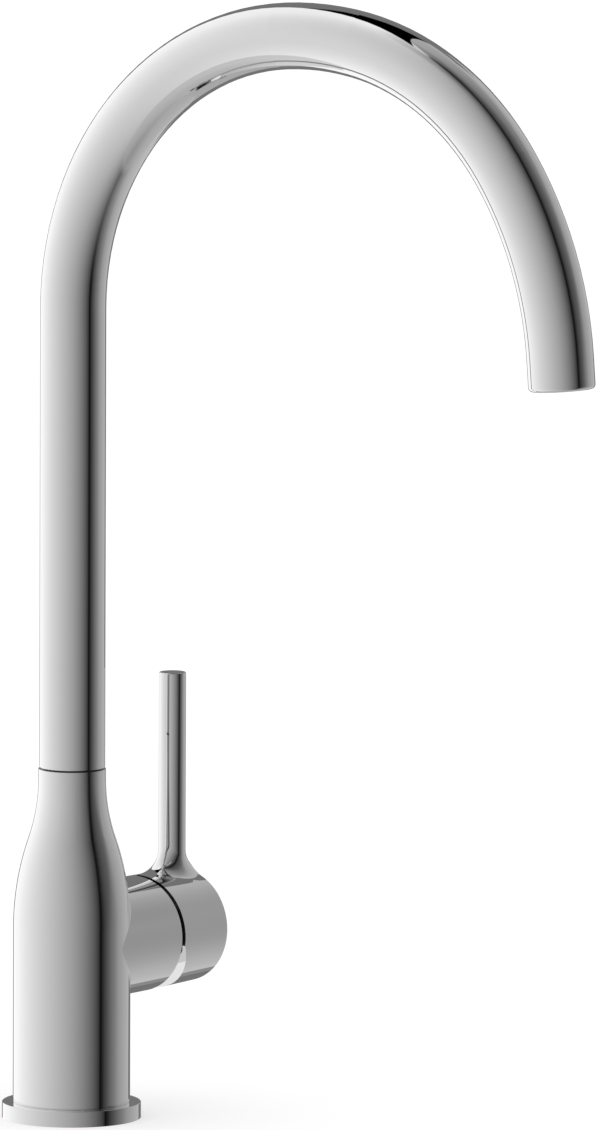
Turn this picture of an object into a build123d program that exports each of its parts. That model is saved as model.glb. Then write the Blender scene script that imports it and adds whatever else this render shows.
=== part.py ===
from build123d import *
import os
from math import acos, cos, degrees, radians, sin, sqrt, tan

os.makedirs("parts", exist_ok=True)

# Kitchen mixer tap: bottle body on a round flange, swan-neck swivel spout, side handle with a pin lever.
# Millimetres, +Z up, origin at the centre of the flange's underside. The spout reaches along -Y and the
# handle along +X. Rest is the closed valve with the lever upright.

# Base flange and its seal
flange_overhang = 3.9
flange_height = 5.7
flange_edge = 0.3
seal_rim_margin = 2.0
seal_width = 2.4
seal_height = 2.2

# Bottle body
body_over_housing = 0.15
body_edge = 0.2
spigot_wall = 2.6
neck_step = 0.32
neck_length = 4.0
ogee_start = 69.0
ogee_low_radius = 100.0
ogee_high_radius = 64.4
housing_blend = 0.8

# Hose inlets and fixing stud in the open underside
underside_wall = 1.4
underside_depth = 30.0
inlet_thread_radius = 4.5
inlet_thread_depth = 12.0
inlet_offset = 8.5
stud_thread_radius = 3.4
stud_thread_depth = 10.0
stud_offset = 11.0

# Spout: rise, four tangent bends and a short straight outlet
tube_radius = 11.83
tube_wall = 1.6
tube_lip = 1.5
tube_foot_edge = 0.3
rise_length = 165.6
rise_bend_radius = 103.96
rise_bend_angle = 84.83
crown_bend_radius = 125.15
crown_bend_angle = 14.95
fall_bend_radius = 98.51
fall_bend_angle = 44.37
outlet_bend_radius = 129.7
outlet_bend_angle = 31.3
outlet_length = 10.75

# Swivel between neck and spout
neck_wall = 2.6
swivel_clearance = 0.06
swivel_depth = 32.0
swivel_end_gap = 0.6
sleeve_wall = 2.5
sleeve_grip = 20.0
slide_ring_height = 0.35
slide_ring_inset = 0.4
seam_gap = 0.1
bearing_drop = 4.0
bearing_height = 3.0
ring_groove_depth = 1.5
o_ring_upper_drop = 10.0
o_ring_lower_drop = 15.5
o_ring_groove_height = 2.0
lock_drop = 23.5
lock_groove_height = 4.4
lock_groove_depth = 1.1
lock_clearance = 0.3
spout_screw_radius = 2.1
spout_screw_tip_radius = 1.6
spout_screw_recess = 0.7
spout_screw_socket = 1.15
spout_screw_socket_depth = 2.4
socket_sides = 6

# Aerator in the outlet
outlet_recess = 0.9
bush_wall = 1.4
bush_shoulder = 2.0
bush_shoulder_width = 2.4
aerator_wall = 1.4
aerator_recess = 0.6
aerator_ledge = 1.0
aerator_ledge_width = 0.8
aerator_seal_height = 1.6
aerator_key_slots = 6
aerator_key_width = 1.8
aerator_key_depth = 0.7
screen_height = 1.2
screen_hole_radius = 0.5
screen_rim = 0.4
screen_rings = 3
screen_first_ring_holes = 6

# Side housing and handle cap on one axis along +X
handle_axis_z = 62.1
housing_wall = 3.35
housing_rim_x = 38.2
rim_gap = 2.0
rim_relief_drop = 3.0
rim_relief_margin = 3.0
cap_length = 26.2
cap_taper = 1.0
cap_edge = 0.6
lever_radius = 4.9
lever_from_end = 6.8
lever_height = 93.0
lever_edge = 0.5
lever_flare = 9.8
tilt_angle = 22.0

# Valve cartridge, stacked outwards from its seat in the housing
cartridge_depth = 31.3
cartridge_radius = 17.5
cartridge_clearance = 0.1
cartridge_wall = 3.5
nut_wall = 2.1
nut_clearance = 0.1
nut_setback = 8.2
nut_height = 7.0
nut_key_width = 4.0
nut_key_depth = 1.0
nut_keys = 4
base_height = 4.0
peg_radius = 1.5
peg_length = 2.5
peg_y = 11.0
peg_drop = 7.0
inlet_port_radius = 2.8
inlet_port_y = 7.0
inlet_port_rise = 5.0
mixed_port_radius = 3.2
mixed_port_drop = 4.5
mixed_way_x = 5.0
port_seal_wall = 1.5
port_seal_height = 1.6
disc_margin = 0.4
fixed_disc_height = 3.2
face_clearance = 0.05
moving_disc_height = 3.2
mixing_pocket_width = 15.6
mixing_pocket_top = 3.7
mixing_pocket_bottom = 6.0
mixing_pocket_depth = 1.6
carrier_floor = 0.5
carrier_flat = 8.2
rotor_clearance = 0.08
rotor_end_gap = 0.3
rotor_length = 13.9
rotor_rail_height = 2.5
rotor_rail_length = 12.0
lip_height = 1.4
lip_wall = 2.0
pivot_from_rotor_back = 10.4
pivot_radius = 2.0
pivot_clearance = 0.05
pivot_end_margin = 2.0

# Lever stem, its fixing in the handle and the domed ring
stem_size = 7.0
stem_eye_wall = 2.3
stem_arm_radius = 1.9
stem_side_gap = 0.3
stem_end_margin = 6.2
ball_radius = 2.4
ball_depth = 1.0
ball_clearance = 0.15
slot_clearance = 0.5
stem_bush_wall = 1.5
grub_radius = 2.5
grub_length = 8.0
grub_from_stem_end = 3.5
grub_socket = 1.44
grub_socket_depth = 3.0
plug_radius = 3.5
plug_height = 2.5
plug_recess = 0.5
dome_bulge = 0.8
dome_wall = 1.7
dome_clearance = 0.4
dome_reach = 10.8

# Radii that follow from the cartridge and the tube
cartridge_bore = cartridge_radius + cartridge_clearance
cartridge_inner = cartridge_radius - cartridge_wall
handle_radius = cartridge_bore + housing_wall
body_radius = handle_radius + body_over_housing
flange_radius = body_radius + flange_overhang
spigot_radius = body_radius - spigot_wall
underside_radius = spigot_radius - underside_wall
neck_radius = tube_radius + neck_step
tube_inner = tube_radius - tube_wall
swivel_bore = neck_radius - neck_wall
swivel_radius = swivel_bore - swivel_clearance

# Places along the body axis
ogee_angle = degrees(acos(1 - (body_radius - neck_radius) / (ogee_low_radius + ogee_high_radius)))
ogee_end = ogee_start + (ogee_low_radius + ogee_high_radius) * sin(radians(ogee_angle))
neck_top = ogee_end + neck_length
swivel_floor = neck_top - swivel_depth
tube_foot = neck_top + slide_ring_height + seam_gap
bend_start = tube_foot + rise_length
lock_z = neck_top - lock_drop

# Places along the handle axis
seat_x = housing_rim_x - cartridge_depth
base_front = seat_x + base_height
fixed_front = base_front + fixed_disc_height
moving_back = fixed_front + face_clearance
moving_front = moving_back + moving_disc_height
carrier_height = ball_depth + ball_radius + ball_clearance + carrier_floor
carrier_front = moving_front + carrier_height
rotor_back = carrier_front + rotor_end_gap
rotor_front = rotor_back + rotor_length
rotor_radius = cartridge_inner - rotor_clearance
lip_back = rotor_front + rotor_end_gap
lip_front = lip_back + lip_height
lip_radius = cartridge_inner - lip_wall
pivot_x = rotor_back + pivot_from_rotor_back
ball_x = carrier_front - ball_depth
nut_start_x = lip_front - nut_setback
nut_end_x = nut_start_x + nut_height
nut_inner = cartridge_bore - nut_wall
barrel_top_radius = nut_inner - nut_clearance
dome_radius = cartridge_radius + dome_bulge
dome_end_x = pivot_x + dome_reach
cavity_radius = dome_radius + dome_clearance
cap_rim_x = housing_rim_x + rim_gap
cap_end_x = cap_rim_x + cap_length
lever_x = cap_end_x - lever_from_end
stem_end_x = cap_end_x - stem_end_margin
grub_x = stem_end_x - grub_from_stem_end
disc_travel = (pivot_x - ball_x) * sin(radians(tilt_angle))
disc_rest_z = handle_axis_z - disc_travel / 2
moving_disc_radius = cartridge_inner - disc_travel / 2 - disc_margin
handle_axis = Axis((0, 0, handle_axis_z), (1, 0, 0))


def across(x):
    """Plane square to the handle axis at x, with local x along +Y and local y up."""
    return Plane(origin=(x, 0, handle_axis_z), x_dir=(0, 1, 0), z_dir=(1, 0, 0))


def beside(y):
    """Plane along the handle axis at y, with local x along +X and local y up."""
    return Plane(origin=(0, y, handle_axis_z), x_dir=(1, 0, 0), z_dir=(0, -1, 0))


def under(z):
    """Level plane at z that faces down, with local x along +X."""
    return Plane(origin=(0, 0, z), x_dir=(1, 0, 0), z_dir=(0, 0, -1))


def free_edges(builder):
    """Edges that are neither straight nor round: where two crossing cylinders meet."""
    return builder.edges().filter_by(lambda edge: edge.geom_type not in (GeomType.LINE, GeomType.CIRCLE))


# Base flange: a turned ring with a groove for the seal in its underside
seal_outer = flange_radius - seal_rim_margin
seal_inner = seal_outer - seal_width
with BuildPart() as base_flange:
    with BuildSketch() as flange_plan:
        Circle(flange_radius)
        Circle(spigot_radius, mode=Mode.SUBTRACT)
    extrude(amount=flange_height)
    fillet(base_flange.faces().sort_by(Axis.Z)[-1].outer_wire().edges(), radius=flange_edge)
    with BuildSketch() as groove_plan:
        Circle(seal_outer)
        Circle(seal_inner, mode=Mode.SUBTRACT)
    extrude(amount=seal_height, mode=Mode.SUBTRACT)
base_flange.part.label = "base_flange"
export_step(base_flange.part, "parts/base_flange.step")

# Deck seal: a rubber ring that fills the flange's groove
with BuildPart() as deck_seal:
    with BuildSketch() as seal_plan:
        Circle(seal_outer)
        Circle(seal_inner, mode=Mode.SUBTRACT)
    extrude(amount=seal_height)
deck_seal.part.label = "deck_seal"
export_step(deck_seal.part, "parts/deck_seal.step")

# Body: the bottle is one turned outline, the housing a cylinder along the handle axis
with BuildPart() as body:
    with BuildSketch(Plane.XZ) as bottle_outline:
        with BuildLine() as bottle_line:
            foot = Polyline(
                (0, 0),
                (spigot_radius, 0),
                (spigot_radius, flange_height),
                (body_radius - body_edge, flange_height),
                (body_radius, flange_height + body_edge),
                (body_radius, ogee_start),
            )
            shoulder = JernArc(foot @ 1, foot % 1, ogee_low_radius, ogee_angle)
            hollow = JernArc(shoulder @ 1, shoulder % 1, ogee_high_radius, -ogee_angle)
            neck = Line(hollow @ 1, (neck_radius, neck_top))
            Line(neck @ 1, (0, neck_top))
            Line((0, neck_top), (0, 0))
        make_face()
    revolve(axis=Axis.Z)
    with BuildSketch(across(0)) as housing_plan:
        Circle(handle_radius)
    extrude(amount=housing_rim_x)
    fillet(free_edges(body), radius=housing_blend)
    # Open underside for the hoses, their two threaded inlets and the stud hole
    with BuildSketch() as underside_plan:
        Circle(underside_radius)
    extrude(amount=underside_depth, mode=Mode.SUBTRACT)
    with BuildSketch(Plane.XY.offset(underside_depth)) as inlet_plan:
        with Locations((0, inlet_offset), (0, -inlet_offset)):
            Circle(inlet_thread_radius)
    extrude(amount=inlet_thread_depth, mode=Mode.SUBTRACT)
    with BuildSketch(Plane.XY.offset(underside_depth)) as stud_plan:
        with Locations((stud_offset, 0)):
            Circle(stud_thread_radius)
    extrude(amount=stud_thread_depth, mode=Mode.SUBTRACT)
    # Cartridge bore with its seat, and the peg holes in the seat
    with BuildSketch(across(seat_x)) as bore_plan:
        Circle(cartridge_bore)
    extrude(amount=housing_rim_x - seat_x, mode=Mode.SUBTRACT)
    with BuildSketch(across(seat_x)) as peg_plan:
        with Locations((peg_y, -peg_drop), (-peg_y, -peg_drop)):
            Circle(peg_radius)
    extrude(amount=-peg_length, mode=Mode.SUBTRACT)
    # Hot and cold ways: up from the inlets, then across to the seat
    with BuildSketch(Plane.XY.offset(underside_depth)) as riser_plan:
        with Locations((0, inlet_port_y), (0, -inlet_port_y)):
            Circle(inlet_port_radius)
    extrude(amount=handle_axis_z + inlet_port_rise - underside_depth, mode=Mode.SUBTRACT)
    with BuildSketch(across(0)) as inlet_way_plan:
        with Locations((inlet_port_y, inlet_port_rise), (-inlet_port_y, inlet_port_rise)):
            Circle(inlet_port_radius)
    extrude(amount=seat_x, mode=Mode.SUBTRACT)
    # Mixed way: back from the seat, then up to the swivel bore
    with BuildSketch(across(-mixed_way_x)) as mixed_way_plan:
        with Locations((0, -mixed_port_drop)):
            Circle(mixed_port_radius)
    extrude(amount=seat_x + mixed_way_x, mode=Mode.SUBTRACT)
    with BuildSketch(Plane.XY.offset(handle_axis_z - mixed_port_drop)) as mixed_riser_plan:
        with Locations((-mixed_way_x, 0)):
            Circle(mixed_port_radius)
    extrude(amount=swivel_floor - handle_axis_z + mixed_port_drop, mode=Mode.SUBTRACT)
    with BuildSketch(Plane.XY.offset(swivel_floor)) as swivel_plan:
        Circle(swivel_bore)
    extrude(amount=swivel_depth, mode=Mode.SUBTRACT)
    # Threaded hole for the spout screw, at the back of the neck
    with BuildSketch(Plane.XZ.offset(-body_radius)) as screw_hole_plan:
        with Locations((0, lock_z)):
            Circle(spout_screw_radius)
    extrude(amount=body_radius, mode=Mode.SUBTRACT)
body.part.label = "body"
export_step(body.part, "parts/body.step")

# Spout screw: a socket grub screw whose tip runs in the sleeve's lock groove
neck_at_lock = neck_radius + ogee_high_radius - sqrt(ogee_high_radius**2 - (ogee_end - lock_z) ** 2)
screw_tip_y = swivel_radius - lock_groove_depth + lock_clearance
screw_shank_y = swivel_bore + lock_clearance
screw_end_y = neck_at_lock - spout_screw_recess
with BuildPart() as spout_screw:
    with BuildSketch(Plane.XZ.offset(-screw_shank_y)) as shank_plan:
        with Locations((0, lock_z)):
            Circle(spout_screw_radius)
    extrude(amount=screw_shank_y - screw_end_y)
    with BuildSketch(Plane.XZ.offset(-screw_tip_y)) as tip_plan:
        with Locations((0, lock_z)):
            Circle(spout_screw_tip_radius)
    extrude(amount=screw_tip_y - screw_shank_y)
    with BuildSketch(Plane.XZ.offset(-screw_end_y)) as socket_plan:
        with Locations((0, lock_z)):
            RegularPolygon(spout_screw_socket, socket_sides)
    extrude(amount=spout_screw_socket_depth, mode=Mode.SUBTRACT)
spout_screw.part.label = "spout_screw"
export_step(spout_screw.part, "parts/spout_screw.step")

# Slide ring: the dark seam between body and spout
with BuildPart() as slide_ring:
    with BuildSketch(Plane.XY.offset(neck_top)) as slide_plan:
        Circle(tube_radius - slide_ring_inset)
        Circle(swivel_bore, mode=Mode.SUBTRACT)
    extrude(amount=slide_ring_height)
slide_ring.part.label = "slide_ring"
export_step(slide_ring.part, "parts/slide_ring.step")

# Spout tube: one tube swept along straight runs and tangent bends
with BuildPart() as spout_tube:
    with BuildLine(Plane.YZ) as spout_path:
        rise = Line((0, tube_foot), (0, bend_start))
        rise_bend = JernArc(rise @ 1, rise % 1, rise_bend_radius, rise_bend_angle)
        crown_bend = JernArc(rise_bend @ 1, rise_bend % 1, crown_bend_radius, crown_bend_angle)
        fall_bend = JernArc(crown_bend @ 1, crown_bend % 1, fall_bend_radius, fall_bend_angle)
        outlet_bend = JernArc(fall_bend @ 1, fall_bend % 1, outlet_bend_radius, outlet_bend_angle)
        outlet_run = Line(outlet_bend @ 1, (outlet_bend @ 1) + (outlet_bend % 1) * outlet_length)
    with BuildSketch(Plane.XY.offset(tube_foot)) as tube_section:
        Circle(tube_radius)
        Circle(tube_inner, mode=Mode.SUBTRACT)
    sweep(path=spout_path.wires()[0])
    outlet_point = outlet_run @ 1
    outlet_way = outlet_run % 1
    outlet_face = spout_tube.faces().filter_by(GeomType.PLANE).sort_by(Axis.Z)[-1]
    foot_face = spout_tube.faces().filter_by(GeomType.PLANE).sort_by(Axis.Z)[0]
    fillet(outlet_face.outer_wire().edges(), radius=tube_lip)
    chamfer(foot_face.outer_wire().edges(), length=tube_foot_edge)
spout_tube.part.label = "spout_tube"
export_step(spout_tube.part, "parts/spout_tube.step")

# Swivel sleeve: soldered into the tube's foot, turns in the neck, grooved for its rings and the screw
groove_radius = swivel_radius - ring_groove_depth
with BuildPart() as swivel_sleeve:
    with BuildSketch(Plane.XZ) as sleeve_outline:
        with BuildLine() as sleeve_line:
            Polyline(
                (swivel_radius - sleeve_wall, swivel_floor + swivel_end_gap),
                (swivel_radius, swivel_floor + swivel_end_gap),
                (swivel_radius, tube_foot),
                (tube_inner, tube_foot),
                (tube_inner, tube_foot + sleeve_grip),
                (swivel_radius - sleeve_wall, tube_foot + sleeve_grip),
                close=True,
            )
        make_face()
        with Locations((swivel_radius, neck_top - bearing_drop)):
            Rectangle(2 * ring_groove_depth, bearing_height, mode=Mode.SUBTRACT)
        for groove_drop in (o_ring_upper_drop, o_ring_lower_drop):
            with Locations((swivel_radius, neck_top - groove_drop)):
                Rectangle(2 * ring_groove_depth, o_ring_groove_height, mode=Mode.SUBTRACT)
        with Locations((swivel_radius, lock_z)):
            Rectangle(2 * lock_groove_depth, lock_groove_height, mode=Mode.SUBTRACT)
    revolve(axis=Axis.Z)
swivel_sleeve.part.label = "swivel_sleeve"
export_step(swivel_sleeve.part, "parts/swivel_sleeve.step")

# Bearing ring: a plastic band that fills its groove and stands a little proud of the sleeve
with BuildPart() as bearing_ring:
    with BuildSketch(Plane.XY.offset(neck_top - bearing_drop - bearing_height / 2)) as bearing_plan:
        Circle(swivel_radius + swivel_clearance / 2)
        Circle(groove_radius, mode=Mode.SUBTRACT)
    extrude(amount=bearing_height)
bearing_ring.part.label = "bearing_ring"
export_step(bearing_ring.part, "parts/bearing_ring.step")

# O-rings: two rubber rings that seat on their groove floors
o_ring_section = (swivel_radius + swivel_clearance / 2 - groove_radius) / 2
for o_ring_name, o_ring_drop in (("o_ring_upper", o_ring_upper_drop), ("o_ring_lower", o_ring_lower_drop)):
    with BuildPart() as o_ring:
        with BuildSketch(Plane.XZ) as o_ring_outline:
            with Locations((groove_radius + o_ring_section, neck_top - o_ring_drop)):
                Circle(o_ring_section)
        revolve(axis=Axis.Z)
    o_ring.part.label = o_ring_name
    export_step(o_ring.part, f"parts/{o_ring_name}.step")

# Outlet bush: soldered into the tube's straight end, with a shoulder for the aerator's seal
bush_length = outlet_length - outlet_recess
aerator_radius = tube_inner - bush_wall
bush_shoulder_radius = aerator_radius - bush_shoulder_width
bush_plane = Plane(origin=outlet_point - outlet_way * outlet_recess, x_dir=(1, 0, 0), z_dir=-outlet_way)
with BuildPart() as outlet_bush:
    with BuildSketch(bush_plane) as bush_plan:
        Circle(tube_inner)
        Circle(aerator_radius, mode=Mode.SUBTRACT)
    extrude(amount=bush_length - bush_shoulder)
    with BuildSketch(bush_plane.offset(bush_length - bush_shoulder)) as shoulder_plan:
        Circle(tube_inner)
        Circle(bush_shoulder_radius, mode=Mode.SUBTRACT)
    extrude(amount=bush_shoulder)
outlet_bush.part.label = "outlet_bush"
export_step(outlet_bush.part, "parts/outlet_bush.step")

# Aerator seal: a flat rubber washer under the bush's shoulder
seal_start = bush_length - bush_shoulder - aerator_seal_height
with BuildPart() as aerator_seal:
    with BuildSketch(bush_plane.offset(seal_start)) as washer_plan:
        Circle(aerator_radius)
        Circle(bush_shoulder_radius, mode=Mode.SUBTRACT)
    extrude(amount=aerator_seal_height)
aerator_seal.part.label = "aerator_seal"
export_step(aerator_seal.part, "parts/aerator_seal.step")

# Aerator shell: screwed into the bush, with a ledge for the screen and slots for its key
aerator_inner = aerator_radius - aerator_wall
aerator_ledge_radius = aerator_inner - aerator_ledge_width
with BuildPart() as aerator_shell:
    with BuildSketch(bush_plane.offset(aerator_recess)) as shell_plan:
        Circle(aerator_radius)
    extrude(amount=seal_start - aerator_recess)
    with BuildSketch(bush_plane.offset(aerator_recess + aerator_ledge)) as shell_bore_plan:
        Circle(aerator_inner)
    extrude(amount=seal_start - aerator_recess - aerator_ledge, mode=Mode.SUBTRACT)
    with BuildSketch(bush_plane.offset(aerator_recess)) as ledge_plan:
        Circle(aerator_ledge_radius)
        with PolarLocations(aerator_radius, aerator_key_slots):
            Rectangle(aerator_wall, aerator_key_width)
    extrude(amount=aerator_key_depth, mode=Mode.SUBTRACT)
    with BuildSketch(bush_plane.offset(aerator_recess)) as ledge_bore_plan:
        Circle(aerator_ledge_radius)
    extrude(amount=aerator_ledge, mode=Mode.SUBTRACT)
aerator_shell.part.label = "aerator_shell"
export_step(aerator_shell.part, "parts/aerator_shell.step")

# Aerator screen: a perforated disc on the shell's ledge
screen_ring_pitch = (aerator_ledge_radius - screen_hole_radius - screen_rim) / screen_rings
with BuildPart() as aerator_screen:
    with BuildSketch(bush_plane.offset(aerator_recess + aerator_ledge)) as screen_plan:
        Circle(aerator_inner)
        Circle(screen_hole_radius, mode=Mode.SUBTRACT)
        for ring in range(1, screen_rings + 1):
            with PolarLocations(ring * screen_ring_pitch, screen_first_ring_holes * ring):
                Circle(screen_hole_radius, mode=Mode.SUBTRACT)
    extrude(amount=screen_height)
aerator_screen.part.label = "aerator_screen"
export_step(aerator_screen.part, "parts/aerator_screen.step")

# Cartridge base: plastic foot with three ports, a recess for each port's seal, and two pegs
inlet_ports = ((inlet_port_y, inlet_port_rise), (-inlet_port_y, inlet_port_rise))
mixed_port = (0, -mixed_port_drop)
with BuildPart() as cartridge_base:
    with BuildSketch(across(seat_x)) as foot_plan:
        Circle(cartridge_radius)
        with Locations(*inlet_ports):
            Circle(inlet_port_radius, mode=Mode.SUBTRACT)
        with Locations(mixed_port):
            Circle(mixed_port_radius, mode=Mode.SUBTRACT)
    extrude(amount=base_height)
    with BuildSketch(across(seat_x)) as recess_plan:
        with Locations(*inlet_ports):
            Circle(inlet_port_radius + port_seal_wall)
        with Locations(mixed_port):
            Circle(mixed_port_radius + port_seal_wall)
    extrude(amount=port_seal_height, mode=Mode.SUBTRACT)
    with BuildSketch(across(seat_x)) as foot_peg_plan:
        with Locations((peg_y, -peg_drop), (-peg_y, -peg_drop)):
            Circle(peg_radius)
    extrude(amount=-peg_length)
cartridge_base.part.label = "cartridge_base"
export_step(cartridge_base.part, "parts/cartridge_base.step")

# Port seals: one rubber ring in each recess, against the seat
port_seals = (
    ("port_seal_hot", inlet_ports[1], inlet_port_radius),
    ("port_seal_cold", inlet_ports[0], inlet_port_radius),
    ("port_seal_mixed", mixed_port, mixed_port_radius),
)
for port_seal_name, port_place, port_radius in port_seals:
    with BuildPart() as port_seal:
        with BuildSketch(across(seat_x)) as port_seal_plan:
            with Locations(port_place):
                Circle(port_radius + port_seal_wall)
                Circle(port_radius, mode=Mode.SUBTRACT)
        extrude(amount=port_seal_height)
    port_seal.part.label = port_seal_name
    export_step(port_seal.part, f"parts/{port_seal_name}.step")

# Fixed disc: ceramic, with the same three ports
with BuildPart() as fixed_disc:
    with BuildSketch(across(base_front)) as fixed_plan:
        Circle(cartridge_inner - disc_margin)
        with Locations(*inlet_ports):
            Circle(inlet_port_radius, mode=Mode.SUBTRACT)
        with Locations(mixed_port):
            Circle(mixed_port_radius, mode=Mode.SUBTRACT)
    extrude(amount=fixed_disc_height)
fixed_disc.part.label = "fixed_disc"
export_step(fixed_disc.part, "parts/fixed_disc.step")

# Cartridge housing: stepped barrel with a lip that keeps the rotor in
with BuildPart() as cartridge_housing:
    with BuildSketch(beside(0)) as barrel_outline:
        with BuildLine() as barrel_line:
            Polyline(
                (base_front, cartridge_inner),
                (base_front, cartridge_radius),
                (nut_start_x, cartridge_radius),
                (nut_start_x, barrel_top_radius),
                (lip_front, barrel_top_radius),
                (lip_front, lip_radius),
                (lip_back, lip_radius),
                (lip_back, cartridge_inner),
                close=True,
            )
        make_face()
    revolve(axis=handle_axis)
cartridge_housing.part.label = "cartridge_housing"
export_step(cartridge_housing.part, "parts/cartridge_housing.step")

# Cartridge nut: threaded ring on the barrel's shoulder, with slots for its spanner
with BuildPart() as cartridge_nut:
    with BuildSketch(across(nut_start_x)) as nut_plan:
        Circle(cartridge_bore)
        Circle(nut_inner, mode=Mode.SUBTRACT)
    extrude(amount=nut_height)
    with BuildSketch(across(nut_end_x)) as nut_key_plan:
        with PolarLocations(nut_inner + nut_wall / 2, nut_keys):
            Rectangle(2 * nut_wall, nut_key_width)
    extrude(amount=-nut_key_depth, mode=Mode.SUBTRACT)
cartridge_nut.part.label = "cartridge_nut"
export_step(cartridge_nut.part, "parts/cartridge_nut.step")

# Domed ring: part of a ball centred on the lever's pivot, so the tilting cap keeps its distance
skirt_radius = cartridge_radius
skirt_x = pivot_x + sqrt(dome_radius**2 - skirt_radius**2)
dome_inner = dome_radius - dome_wall


def ball_height(radius, x):
    """Distance from the handle axis at x to a ball of this radius centred on the pivot."""
    return sqrt(radius**2 - (x - pivot_x) ** 2)


with BuildPart() as dome_ring:
    with BuildSketch(beside(0)) as dome_outline:
        with BuildLine() as dome_line:
            Line((nut_end_x, ball_height(dome_inner, nut_end_x)), (nut_end_x, skirt_radius))
            Line((nut_end_x, skirt_radius), (skirt_x, skirt_radius))
            ThreePointArc(
                (skirt_x, skirt_radius),
                ((skirt_x + dome_end_x) / 2, ball_height(dome_radius, (skirt_x + dome_end_x) / 2)),
                (dome_end_x, ball_height(dome_radius, dome_end_x)),
            )
            Line(
                (dome_end_x, ball_height(dome_radius, dome_end_x)),
                (dome_end_x, ball_height(dome_inner, dome_end_x)),
            )
            ThreePointArc(
                (dome_end_x, ball_height(dome_inner, dome_end_x)),
                ((nut_end_x + dome_end_x) / 2, ball_height(dome_inner, (nut_end_x + dome_end_x) / 2)),
                (nut_end_x, ball_height(dome_inner, nut_end_x)),
            )
        make_face()
    revolve(axis=handle_axis)
dome_ring.part.label = "dome_ring"
export_step(dome_ring.part, "parts/dome_ring.step")

# Rotor: turns in the barrel, slotted for the tilting stem, with two rails that drive the disc carrier
tilt = radians(tilt_angle)
slot_low = (lip_front - pivot_x) * tan(tilt) + stem_size / 2 / cos(tilt) + slot_clearance
slot_high = (pivot_x - rotor_back) * tan(tilt) + ball_radius / cos(tilt) + slot_clearance
rail_y = carrier_flat + rotor_end_gap
with BuildPart() as rotor:
    with BuildSketch(across(rotor_back)) as rotor_plan:
        Circle(rotor_radius)
    extrude(amount=rotor_length)
    with BuildSketch(across(rotor_front)) as collar_plan:
        Circle(lip_radius - rotor_clearance)
    extrude(amount=lip_front - rotor_front)
    with BuildSketch(across(rotor_back)) as rail_plan:
        with Locations((rail_y + rotor_rail_height / 2, 0), (-rail_y - rotor_rail_height / 2, 0)):
            Rectangle(rotor_rail_height, rotor_rail_length)
    extrude(amount=moving_front + rotor_end_gap - rotor_back)
    with BuildSketch(across(rotor_back)) as slot_plan:
        with Locations((0, (slot_high - slot_low) / 2)):
            Rectangle(stem_size + 2 * stem_side_gap, slot_high + slot_low)
    extrude(amount=lip_front - rotor_back, mode=Mode.SUBTRACT)
    with BuildSketch(beside(0)) as rotor_pin_plan:
        with Locations((pivot_x, 0)):
            Circle(pivot_radius)
    extrude(amount=rotor_radius - pivot_end_margin, both=True, mode=Mode.SUBTRACT)
rotor.part.label = "rotor"
export_step(rotor.part, "parts/rotor.step")

# Pivot pin: pressed across the rotor, carries the stem
with BuildPart() as pivot_pin:
    with BuildSketch(beside(0)) as pin_plan:
        with Locations((pivot_x, 0)):
            Circle(pivot_radius)
    extrude(amount=rotor_radius - pivot_end_margin, both=True)
pivot_pin.part.label = "pivot_pin"
export_step(pivot_pin.part, "parts/pivot_pin.step")

# Moving disc: ceramic, with the mixing pocket in the face that slides on the fixed disc
disc_drop = disc_rest_z - handle_axis_z
with BuildPart() as moving_disc:
    with BuildSketch(across(moving_back)) as moving_plan:
        with Locations((0, disc_drop)):
            Circle(moving_disc_radius)
    extrude(amount=moving_disc_height)
    with BuildSketch(across(moving_back)) as pocket_plan:
        with Locations((0, disc_drop + (mixing_pocket_top - mixing_pocket_bottom) / 2)):
            Rectangle(mixing_pocket_width, mixing_pocket_top + mixing_pocket_bottom)
    extrude(amount=mixing_pocket_depth, mode=Mode.SUBTRACT)
moving_disc.part.label = "moving_disc"
export_step(moving_disc.part, "parts/moving_disc.step")

# Disc carrier: rides on the moving disc between the rotor's rails, with a socket for the stem's ball
socket_size = 2 * (ball_radius + ball_clearance)
socket_floor = ball_x - ball_radius - ball_clearance
with BuildPart() as disc_carrier:
    with BuildSketch(across(moving_front)) as carrier_plan:
        with Locations((0, disc_drop)):
            Circle(moving_disc_radius)
            Rectangle(2 * carrier_flat, 2 * moving_disc_radius, mode=Mode.INTERSECT)
    extrude(amount=carrier_height)
    with BuildSketch(across(socket_floor)) as socket_plan:
        Rectangle(socket_size, socket_size)
    extrude(amount=carrier_front - socket_floor, mode=Mode.SUBTRACT)
disc_carrier.part.label = "disc_carrier"
export_step(disc_carrier.part, "parts/disc_carrier.step")

# Stem: square bar into the handle, an eye on the pivot pin, and an arm whose ball pushes the disc carrier
with BuildPart() as stem:
    with BuildSketch(across(pivot_x)) as bar_plan:
        Rectangle(stem_size, stem_size)
    extrude(amount=stem_end_x - pivot_x)
    with BuildSketch(beside(0)) as eye_plan:
        with Locations((pivot_x, 0)):
            Circle(pivot_radius + stem_eye_wall)
    extrude(amount=stem_size / 2, both=True)
    with BuildSketch(across(ball_x)) as arm_plan:
        Circle(stem_arm_radius)
    extrude(amount=pivot_x - ball_x)
    with Locations((ball_x, 0, handle_axis_z)):
        Sphere(ball_radius)
    with BuildSketch(beside(0)) as eye_hole_plan:
        with Locations((pivot_x, 0)):
            Circle(pivot_radius + pivot_clearance)
    extrude(amount=stem_size, both=True, mode=Mode.SUBTRACT)
stem.part.label = "stem"
export_step(stem.part, "parts/stem.step")

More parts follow.
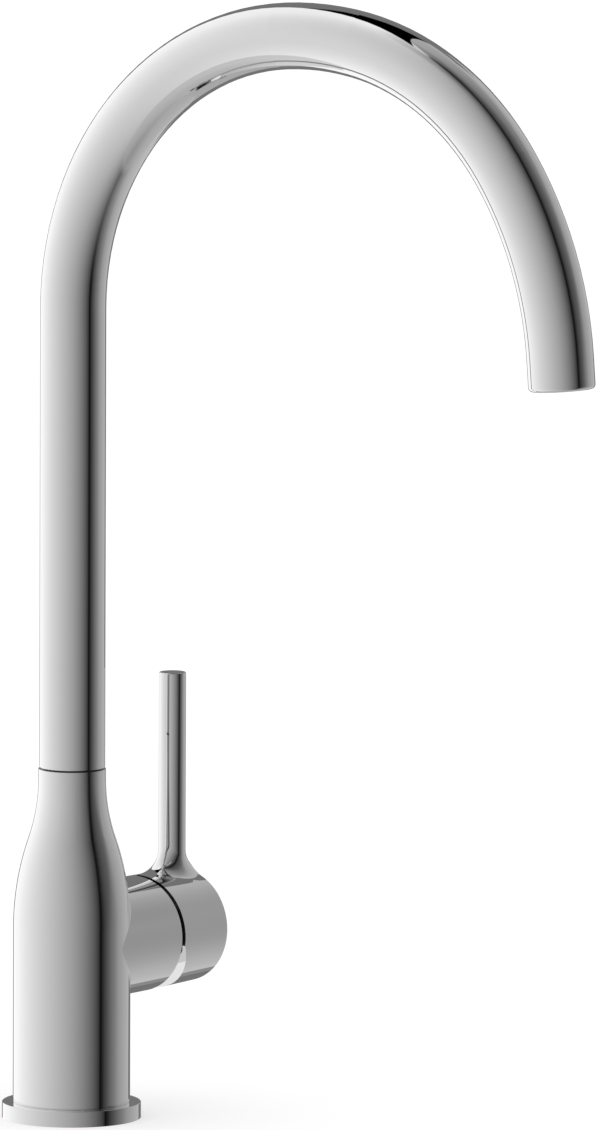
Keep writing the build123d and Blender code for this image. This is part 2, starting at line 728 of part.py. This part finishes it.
# Handle: the slightly tapered cap and its flared pin lever are one casting, bored out over the domed ring
socket_start = pivot_x + cavity_radius
bush_size = stem_size + 2 * stem_bush_wall
relief_run = (handle_radius + lever_flare) * tan(radians(tilt_angle + rim_relief_margin))
relief_depth = rim_relief_drop + handle_radius + lever_flare
plug_seat = handle_radius - (grub_x - cap_rim_x) * tan(radians(cap_taper)) - plug_recess - plug_height
with BuildPart() as handle:
    with BuildSketch(across(cap_rim_x)) as cap_plan:
        Circle(handle_radius)
    extrude(amount=cap_end_x + lever_flare + lever_radius - cap_rim_x, taper=cap_taper)
    with BuildSketch(Plane.XY.offset(handle_axis_z)) as lever_plan:
        with Locations((lever_x, 0)):
            Circle(lever_radius)
    extrude(amount=lever_height)
    fillet(free_edges(handle), radius=lever_flare)
    split(bisect_by=Plane.YZ.offset(cap_end_x), keep=Keep.BOTTOM)
    fillet(handle.faces().sort_by(Axis.Z)[-1].edges(), radius=lever_edge)
    chamfer(handle.faces().sort_by(Axis.X)[-1].edges(), length=cap_edge)
    # Lower half of the rim, cut back so that the cap can tilt
    with BuildSketch(beside(0)) as relief_outline:
        with BuildLine() as relief_line:
            Polyline(
                (cap_rim_x - rim_gap, -rim_relief_drop),
                (cap_rim_x, -rim_relief_drop),
                (cap_rim_x + relief_run, -relief_depth),
                (cap_rim_x - rim_gap, -relief_depth),
                close=True,
            )
        make_face()
    extrude(amount=2 * handle_radius, both=True, mode=Mode.SUBTRACT)
    with BuildSketch(across(cap_rim_x)) as cavity_plan:
        Circle(ball_height(cavity_radius, cap_rim_x))
    extrude(amount=socket_start - cap_rim_x, mode=Mode.SUBTRACT)
    # Socket for the stem's bush, and the screw hole with a seat for its plug
    with BuildSketch(across(pivot_x)) as bush_socket_plan:
        Rectangle(bush_size, bush_size)
    extrude(amount=stem_end_x - pivot_x, mode=Mode.SUBTRACT)
    with BuildSketch(under(handle_axis_z)) as grub_hole_plan:
        with Locations((grub_x, 0)):
            Circle(grub_radius)
    extrude(amount=handle_radius, mode=Mode.SUBTRACT)
    with BuildSketch(under(handle_axis_z - plug_seat)) as plug_hole_plan:
        with Locations((grub_x, 0)):
            Circle(plug_radius)
    extrude(amount=handle_radius - plug_seat, mode=Mode.SUBTRACT)
handle.part.label = "handle"
export_step(handle.part, "parts/handle.step")

# Stem bush: plastic sleeve between the stem and the handle's socket
bush_start = socket_start + dome_clearance
with BuildPart() as stem_bush:
    with BuildSketch(across(bush_start)) as stem_bush_plan:
        Rectangle(bush_size, bush_size)
        Rectangle(stem_size, stem_size, mode=Mode.SUBTRACT)
    extrude(amount=stem_end_x - bush_start)
    with BuildSketch(under(handle_axis_z)) as bush_hole_plan:
        with Locations((grub_x, 0)):
            Circle(grub_radius)
    extrude(amount=bush_size, mode=Mode.SUBTRACT)
stem_bush.part.label = "stem_bush"
export_step(stem_bush.part, "parts/stem_bush.step")

# Grub screw: clamps the handle on the stem, from below
with BuildPart() as grub_screw:
    with BuildSketch(under(handle_axis_z - stem_size / 2)) as grub_plan:
        with Locations((grub_x, 0)):
            Circle(grub_radius)
    extrude(amount=grub_length)
    with BuildSketch(under(handle_axis_z - stem_size / 2 - grub_length)) as grub_socket_plan:
        with Locations((grub_x, 0)):
            RegularPolygon(grub_socket, socket_sides)
    extrude(amount=-grub_socket_depth, mode=Mode.SUBTRACT)
grub_screw.part.label = "grub_screw"
export_step(grub_screw.part, "parts/grub_screw.step")

# Grub plug: small disc that closes the screw hole
with BuildPart() as grub_plug:
    with BuildSketch(under(handle_axis_z - plug_seat)) as plug_plan:
        with Locations((grub_x, 0)):
            Circle(plug_radius)
    extrude(amount=plug_height)
grub_plug.part.label = "grub_plug"
export_step(grub_plug.part, "parts/grub_plug.step")
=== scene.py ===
import math

import bmesh
import bpy
from mathutils import Matrix, Vector

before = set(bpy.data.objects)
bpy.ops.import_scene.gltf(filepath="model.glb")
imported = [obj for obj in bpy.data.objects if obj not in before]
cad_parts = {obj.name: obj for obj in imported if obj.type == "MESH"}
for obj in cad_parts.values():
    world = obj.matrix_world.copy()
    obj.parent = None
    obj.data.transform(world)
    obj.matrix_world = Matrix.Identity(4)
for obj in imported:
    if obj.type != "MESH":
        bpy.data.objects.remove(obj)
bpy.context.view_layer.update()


# Base flange and deck seal.
# The flange is a turned brass ring, polished and chrome plated, that covers the hole in the worktop.
# A black rubber ring lies in a groove in its underside and keeps water off the hole.
def add(tree, kind, inputs=None, **settings):
    """A node of this kind, with its settings made and its inputs set or linked."""
    node = tree.nodes.new(kind)
    for setting, value in settings.items():
        setattr(node, setting, value)
    for socket, value in (inputs or {}).items():
        if isinstance(value, bpy.types.NodeSocket):
            tree.links.new(value, node.inputs[socket])
        else:
            node.inputs[socket].default_value = value
    return node


def unevenness_group(drift_detail=3.0, grain_detail=2.0):
    """The slow drift and the fine grain of a finished surface, each a value from 0 to 1."""
    group = bpy.data.node_groups.new("unevenness", "ShaderNodeTree")
    for socket in ("Drift Scale", "Grain Scale"):
        group.interface.new_socket(socket, in_out="INPUT", socket_type="NodeSocketFloat")
    for socket in ("Drift", "Grain"):
        group.interface.new_socket(socket, in_out="OUTPUT", socket_type="NodeSocketFloat")
    scales = add(group, "NodeGroupInput")
    place = add(group, "ShaderNodeTexCoord")
    drift = add(group, "ShaderNodeTexNoise", {
        "Vector": place.outputs["Object"],
        "Scale": scales.outputs["Drift Scale"], "Detail": drift_detail})
    grain = add(group, "ShaderNodeTexNoise", {
        "Vector": place.outputs["Object"],
        "Scale": scales.outputs["Grain Scale"], "Detail": grain_detail})
    add(group, "NodeGroupOutput", {"Drift": drift.outputs["Fac"], "Grain": grain.outputs["Fac"]})
    return group


unevenness = unevenness_group()


def surface(name, colour, shade, roughness, drift_scale, grain_scale, relief, metallic=0.0):
    """A material whose colour drifts a little and whose grain stands up by relief, in metres.

    The colour is multiplied by shade where it is darkest. roughness is the smoothest and roughest value.
    """
    material = bpy.data.materials.new(name)
    material.use_nodes = True
    tree = material.node_tree
    shader = tree.nodes["Principled BSDF"]
    shader.inputs["Metallic"].default_value = metallic
    uneven = add(tree, "ShaderNodeGroup", node_tree=unevenness)
    uneven.inputs["Drift Scale"].default_value = drift_scale
    uneven.inputs["Grain Scale"].default_value = grain_scale
    tint = add(tree, "ShaderNodeMix", {"Factor": uneven.outputs["Drift"]}, data_type="RGBA")
    tint.inputs["A"].default_value = (*colour, 1.0)
    tint.inputs["B"].default_value = (*[channel * shade for channel in colour], 1.0)
    gloss = add(tree, "ShaderNodeMapRange", {
        "Value": uneven.outputs["Grain"], "To Min": roughness[0], "To Max": roughness[1]})
    bump = add(tree, "ShaderNodeBump", {"Height": uneven.outputs["Grain"], "Distance": relief})
    tree.links.new(tint.outputs["Result"], shader.inputs["Base Color"])
    tree.links.new(gloss.outputs["Result"], shader.inputs["Roughness"])
    tree.links.new(bump.outputs["Normal"], shader.inputs["Normal"])
    return material


def dress(material, *nodes):
    """Gives the material to the CAD nodes of these names."""
    for node in nodes:
        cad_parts[node].material_slots[0].material = material


chrome_reflectance = 0.85
chrome = surface(
    "chrome_plate", colour=(chrome_reflectance,) * 3, shade=0.985, roughness=(0.008, 0.02),
    drift_scale=14.0, grain_scale=90.0, relief=2e-6, metallic=1.0)
rubber = surface(
    "black_rubber", colour=(0.03, 0.03, 0.03), shade=0.7, roughness=(0.55, 0.75),
    drift_scale=150.0, grain_scale=2500.0, relief=1.5e-5)
dress(chrome, "base_flange")
dress(rubber, "deck_seal")


# Bottle body with its side housing.
# It is a brass casting, turned on the outside, polished and plated like the flange it stands on.
# Two hoses and the fixing stud screw into its open underside.
dress(chrome, "body")


# Spout and its swivel.
# The spout is a drawn brass tube, bent to a swan neck and plated, with a turned sleeve soldered into it.
# The sleeve turns in the body's neck on a plastic ring and two O-rings, and a socket screw keeps it in.
brass = surface(
    "turned_brass", colour=(0.72, 0.55, 0.27), shade=0.85, roughness=(0.2, 0.34),
    drift_scale=60.0, grain_scale=1800.0, relief=4e-6, metallic=1.0)
steel = surface(
    "satin_steel", colour=(0.55, 0.55, 0.56), shade=0.85, roughness=(0.26, 0.4),
    drift_scale=120.0, grain_scale=2500.0, relief=4e-6, metallic=1.0)
black_plastic = surface(
    "black_plastic", colour=(0.02, 0.02, 0.02), shade=0.8, roughness=(0.12, 0.2),
    drift_scale=120.0, grain_scale=2200.0, relief=6e-6)
grey_plastic = surface(
    "grey_plastic", colour=(0.42, 0.43, 0.45), shade=0.9, roughness=(0.35, 0.5),
    drift_scale=100.0, grain_scale=2200.0, relief=6e-6)
dress(chrome, "spout_tube")
dress(brass, "swivel_sleeve")
dress(grey_plastic, "bearing_ring")
dress(rubber, "o_ring_upper", "o_ring_lower")
dress(steel, "spout_screw")
dress(black_plastic, "slide_ring")


# Aerator in the outlet.
# A brass bush is soldered into the tube's end, and the plastic aerator screws into it against a washer.
# Its perforated disc breaks the water into a soft jet.
white_plastic = surface(
    "white_plastic", colour=(0.85, 0.85, 0.83), shade=0.95, roughness=(0.3, 0.45),
    drift_scale=100.0, grain_scale=2200.0, relief=6e-6)
dress(brass, "outlet_bush")
dress(white_plastic, "aerator_shell")
dress(grey_plastic, "aerator_screen")
dress(rubber, "aerator_seal")


# Valve cartridge.
# A plastic barrel holds two lapped ceramic discs, and a brass nut clamps it on three seals in the body.
# The rotor carries the stem on a steel pin and drives the upper disc through its carrier.
ceramic = surface(
    "lapped_ceramic", colour=(0.9, 0.88, 0.82), shade=0.95, roughness=(0.06, 0.14),
    drift_scale=200.0, grain_scale=3000.0, relief=1e-6)
dress(white_plastic, "cartridge_housing", "cartridge_base")
dress(rubber, "port_seal_hot", "port_seal_cold", "port_seal_mixed")
dress(ceramic, "fixed_disc", "moving_disc")
dress(grey_plastic, "rotor", "disc_carrier")
dress(steel, "pivot_pin")
dress(brass, "cartridge_nut", "stem")


# Handle with its pin lever.
# One zinc casting, polished and plated: a cap as wide as the housing, and a pin that flares into it.
# It sits on the stem with a plastic bush, held by a grub screw behind a plug, over a black domed ring.
dress(chrome, "handle")
dress(black_plastic, "dome_ring")
dress(grey_plastic, "stem_bush", "grub_plug")
dress(steel, "grub_screw")


# Camera.
# It stands where the photograph was taken: in front of the tap on the user's left, a little above it and
# far away, with the handle on the body's far side.
photo_azimuth = math.radians(-53.412)
photo_elevation = math.radians(7.366)
photo_roll = math.radians(0.237)
photo_aim = Vector((0.04832, -0.0651, 0.2004))
photo_distance = 5.7903
photo_lens = 514.96
camera_turn = (
    Matrix.Rotation(photo_azimuth, 4, "Z")
    @ Matrix.Rotation(math.radians(90) - photo_elevation, 4, "X")
    @ Matrix.Rotation(photo_roll, 4, "Z"))
camera = bpy.data.objects.new("camera", bpy.data.cameras.new("camera"))
camera.data.lens = photo_lens
camera_reach = Matrix.Translation((0, 0, photo_distance))
camera.matrix_world = Matrix.Translation(photo_aim) @ camera_turn @ camera_reach
bpy.context.scene.collection.objects.link(camera)
bpy.context.scene.camera = camera


# Studio.
# A pale floor under an even white light. Polished metal shows the studio round it: a sweep that fades
# from a white wall to a dark corner, a grey wall behind with a black flag over it, and a grey floor.
white = (1, 1, 1, 1)
soft_light = 1.0
floor_colour = 0.6
floor_glow = 0.45
floor_radius = 9.0
floor_sides = 96
floor_shape = bmesh.new()
bmesh.ops.create_circle(floor_shape, cap_ends=True, segments=floor_sides, radius=floor_radius)
floor_mesh = bpy.data.meshes.new("floor")
floor_shape.to_mesh(floor_mesh)
floor_shape.free()
floor = bpy.data.objects.new("floor", floor_mesh)
floor_paint = surface(
    "floor_paint", colour=(floor_colour,) * 3, shade=0.995, roughness=(0.7, 0.8),
    drift_scale=1.5, grain_scale=300.0, relief=1e-5)
floor_shader = floor_paint.node_tree.nodes["Principled BSDF"]
floor_shader.inputs["Specular IOR Level"].default_value = 0.0
floor_shader.inputs["Emission Color"].default_value = white
floor_ray = add(floor_paint.node_tree, "ShaderNodeLightPath")
glow = add(floor_paint.node_tree, "ShaderNodeMath", {
    0: floor_ray.outputs["Is Camera Ray"], 1: floor_glow}, operation="MULTIPLY")
floor_paint.node_tree.links.new(glow.outputs["Value"], floor_shader.inputs["Emission Strength"])
floor.data.materials.append(floor_paint)
floor.visible_glossy = False
bpy.context.scene.collection.objects.link(floor)

# Brightness of the sweep by azimuth in degrees: 0 is towards the camera, 90 to its right and 180 behind
# the tap. The chrome shows these values, because its own reflectance is divided out below.
sweep = (
    (-160, 0.95), (-130, 0.92), (-75, 0.66), (0, 0.345), (25, 0.217), (44, 0.107), (56, 0.035),
    (58.5, 0.006), (60.5, 0.006), (64, 0.018), (79, 0.103), (95, 0.198), (107, 0.297), (125, 0.367),
    (138, 0.401), (150, 0.45),
)
# Shadow over the right-hand wall, and how the whole sweep fades towards the ceiling. The start and end
# are azimuths, the foot is a plane through the tap, as front, right and up, and a height is the upward
# part of a direction.
shadow_start = (60, 90)
shadow_end = (107, 194)
shadow_foot = (0.971, 0.062, 1.0)
shadow_blur = (-0.02, 0.372)
shadow_depth = 0.332
fade_height = (0.0, 0.9)
fade_depth = 0.1
ceiling_height = (0.94, 1.0)
ceiling_depth = 0.35
unlit = 0.0
# Grey wall behind, with two wings and a skirt on its right, and the black flag over it. The back's edges
# and the flag's foot are planes. Wings and skirt have a side by azimuth, and start and end at heights.
back_colour = 0.16
back_left = (-0.327, 1.0, 0.029)
back_left_blur = (-0.032, 0.002)
back_right = (-0.436, -1.0, -0.0965)
back_right_blur = (-0.005, 0.005)
back_side = (-0.347, -1.0, 0.0)
back_side_blur = (-0.01, 0.01)
back_foot_height = (-0.72, -0.64)
wing_side = (151.5, 152.5)
wing_start = (0.49, 0.51)
wing_end = (0.645, 0.655)
skirt_side = (149.5, 150.5)
skirt_start = (-0.34, -0.3)
skirt_end = (-0.09, -0.04)
flag_foot = (1.014, 0.212, 1.0)
flag_foot_blur = (-0.03, 0.03)
flag_colour = 0.0
# Grey floor, which mirrors the walls less straight below, and the haze of light that it throws on them
room_floor = (-0.15, -0.035, -1.0)
room_floor_edge = (0.775, 0.82)
room_floor_cover = 0.58
room_floor_middle = (0.86, 1.03)
room_floor_fill = 0.85
room_floor_colour = 0.385
haze_edge = (0.15, 0.95)
haze_cover = 0.33

world = bpy.data.worlds.new("studio")
world.use_nodes = True
bpy.context.scene.world = world
studio = world.node_tree
studio.nodes.clear()
way = add(studio, "ShaderNodeTexCoord").outputs["Generated"]
faced = add(studio, "ShaderNodeMapping", {
    "Vector": way, "Rotation": (0, 0, math.radians(90) - photo_azimuth)}).outputs["Vector"]
around = add(studio, "ShaderNodeTexGradient", {"Vector": faced}, gradient_type="RADIAL").outputs["Fac"]
walls = add(studio, "ShaderNodeValToRGB", {"Fac": around})
stops = walls.color_ramp.elements
stops.remove(stops[1])
full_turn = 360.0
ramp_middle = 0.5
stops[0].position = sweep[0][0] / full_turn + ramp_middle
stops[0].color = (sweep[0][1],) * 3 + (1.0,)
for angle, brightness in sweep[1:]:
    stops.new(angle / full_turn + ramp_middle).color = (brightness,) * 3 + (1.0,)


def ease(value, edges, most=1.0):
    """0 below the lower edge, the most above the upper edge, and smooth between them."""
    eased = add(studio, "ShaderNodeMapRange", {
        "Value": value, "From Min": edges[0], "From Max": edges[1], "To Max": most},
        interpolation_type="SMOOTHSTEP")
    return eased.outputs["Result"]


def work(operation, *values):
    """The result of one sum on these values."""
    return add(studio, "ShaderNodeMath", dict(enumerate(values)), operation=operation).outputs["Value"]


def beyond(plane):
    """How far the way lies beyond a plane through the tap."""
    dot = add(studio, "ShaderNodeVectorMath", {0: faced, 1: plane}, operation="DOT_PRODUCT")
    return dot.outputs["Value"]


def paint(under, colour, mask, blend="MIX"):
    """The colour laid over what is under it, as far as the mask goes."""
    layer = add(studio, "ShaderNodeMix", {"Factor": mask}, data_type="RGBA", blend_type=blend)
    studio.links.new(under, layer.inputs["A"])
    layer.inputs["B"].default_value = (colour,) * 3 + (1.0,)
    return layer.outputs["Result"]


height = add(studio, "ShaderNodeSeparateXYZ", {"Vector": way}).outputs["Z"]
azimuth = work("MULTIPLY", work("SUBTRACT", around, ramp_middle), full_turn)
shadow = work("SUBTRACT", ease(azimuth, shadow_start), ease(azimuth, shadow_end))
shadow = work("MULTIPLY", shadow, ease(beyond(shadow_foot), shadow_blur, shadow_depth))
room = paint(walls.outputs["Color"], unlit, shadow)
room = paint(room, unlit, ease(height, fade_height, fade_depth))
room = paint(room, unlit, ease(height, ceiling_height, ceiling_depth))
aloft = work("ABSOLUTE", height)
wings = work("SUBTRACT", ease(aloft, wing_start), ease(aloft, wing_end))
room = paint(room, back_colour, work("MULTIPLY", ease(azimuth, wing_side), wings))
skirt = work("SUBTRACT", ease(height, skirt_start), ease(height, skirt_end))
room = paint(room, back_colour, work("MULTIPLY", ease(azimuth, skirt_side), skirt))
room = paint(room, room_floor_colour, ease(beyond(room_floor), haze_edge, haze_cover), "SCREEN")
back = ease(beyond(back_right), back_right_blur)
back = work("MULTIPLY", back, ease(beyond(back_side), back_side_blur))
back = work("MULTIPLY", back, ease(beyond(back_left), back_left_blur))
room = paint(room, room_floor_colour, back)
room = paint(room, back_colour, work("MULTIPLY", back, ease(height, back_foot_height)))
room = paint(room, flag_colour, work("MULTIPLY", back, ease(beyond(flag_foot), flag_foot_blur)))
room = paint(room, room_floor_colour, ease(beyond(room_floor), room_floor_edge, room_floor_cover))
room = paint(room, room_floor_colour, ease(beyond(room_floor), room_floor_middle, room_floor_fill))
ray = add(studio, "ShaderNodeLightPath")
plain = add(studio, "ShaderNodeBackground", {"Color": white, "Strength": soft_light})
mirrored = add(studio, "ShaderNodeBackground", {"Color": room, "Strength": 1 / chrome_reflectance})
seen = add(studio, "ShaderNodeMixShader", {
    "Fac": ray.outputs["Is Glossy Ray"],
    1: plain.outputs["Background"], 2: mirrored.outputs["Background"]})
add(studio, "ShaderNodeOutputWorld", {"Surface": seen.outputs["Shader"]})

bpy.context.scene.view_settings.view_transform = "Standard"
